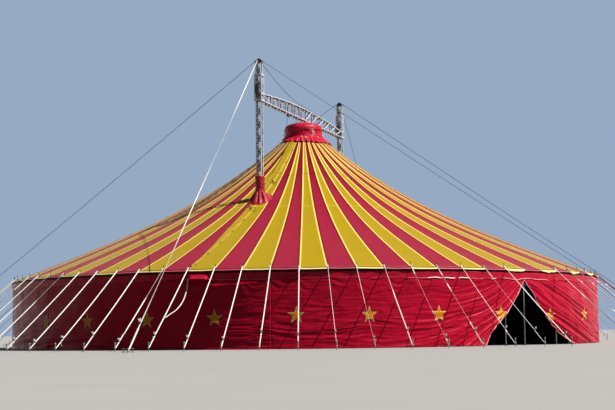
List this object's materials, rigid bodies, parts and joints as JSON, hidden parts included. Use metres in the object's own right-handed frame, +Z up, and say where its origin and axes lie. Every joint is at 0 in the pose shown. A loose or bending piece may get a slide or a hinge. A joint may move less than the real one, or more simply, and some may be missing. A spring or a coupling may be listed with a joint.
{
  "type": "circus big top tent",
  "caption": "Round two-mast circus tent: striped sagging canopy, red side curtains parted at an entrance, lattice bridge over the crown, eave poles, and guy straps to a ring of stakes.",
  "frame": {"origin": "on the ground on the tent's vertical axis, midway between the two masts", "axes": "+Z up, Y along the bridge girder from mast to mast with the front mast at -Y, +X to the right of a viewer who faces +Y"},
  "size_m": [37.8338, 38.38, 13.008],
  "materials": {
    "canopy_yellow": "satin coated cloth",
    "canopy_red": "satin coated cloth",
    "curtain_red": "satin coated cloth",
    "trim_red": "satin coated cloth",
    "pole_steel": "galvanised",
    "mast_steel": "galvanised, weathered",
    "bridge_steel": "galvanised, pale",
    "webbing_white": "woven strap",
    "stay_cable": "wire rope",
    "rope_dark": "braided rope",
    "dark_paint": "semi-gloss"
  },
  "bodies": {
    "root": {"bridge_girder": "bridge_steel", "bridge_sleeve_front": "bridge_steel", "bridge_sleeve_rear": "bridge_steel", "crown_cover": "trim_red", "crown_ring": "mast_steel", "eave_poles_1": "pole_steel", "eave_poles_2": "pole_steel", "eave_poles_3": "pole_steel", "eave_poles_4": "pole_steel", "eave_poles_5": "pole_steel", "eave_poles_6": "pole_steel", "eave_poles_7": "pole_steel", "eave_poles_8": "pole_steel", "guy_straps_1": "webbing_white", "guy_straps_2": "webbing_white", "guy_straps_3": "webbing_white", "guy_straps_4": "webbing_white", "guy_straps_5": "webbing_white", "guy_straps_6": "webbing_white", "guy_straps_7": "webbing_white", "guy_straps_8": "webbing_white", "hoist_front": "dark_paint", "hoist_rear": "dark_paint", "mast_boot_front": "trim_red", "mast_boot_rear": "trim_red", "mast_front": "mast_steel", "mast_head_front": "dark_paint", "mast_head_rear": "dark_paint", "mast_rear": "mast_steel", "rigging_rope": "rope_dark", "roof_sector_1": "canopy_yellow", "roof_sector_2": "canopy_red", "roof_sector_3": "canopy_yellow", "roof_sector_4": "canopy_red", "roof_sector_5": "canopy_yellow", "roof_sector_6": "canopy_red", "roof_sector_7": "canopy_yellow", "roof_sector_8": "canopy_red", "stay_front_left": "stay_cable", "stay_front_out": "webbing_white", "stay_front_right": "stay_cable", "stay_rear_left": "stay_cable", "stay_rear_out": "stay_cable", "stay_rear_right": "stay_cable", "wall_curtain_1": "curtain_red", "wall_curtain_2": "curtain_red", "wall_curtain_3": "curtain_red", "wall_curtain_4": "curtain_red", "wall_curtain_5": "curtain_red", "wall_curtain_6": "curtain_red", "wall_curtain_7": "curtain_red", "wall_curtain_8": "curtain_red"}
  },
  "joints": []
}
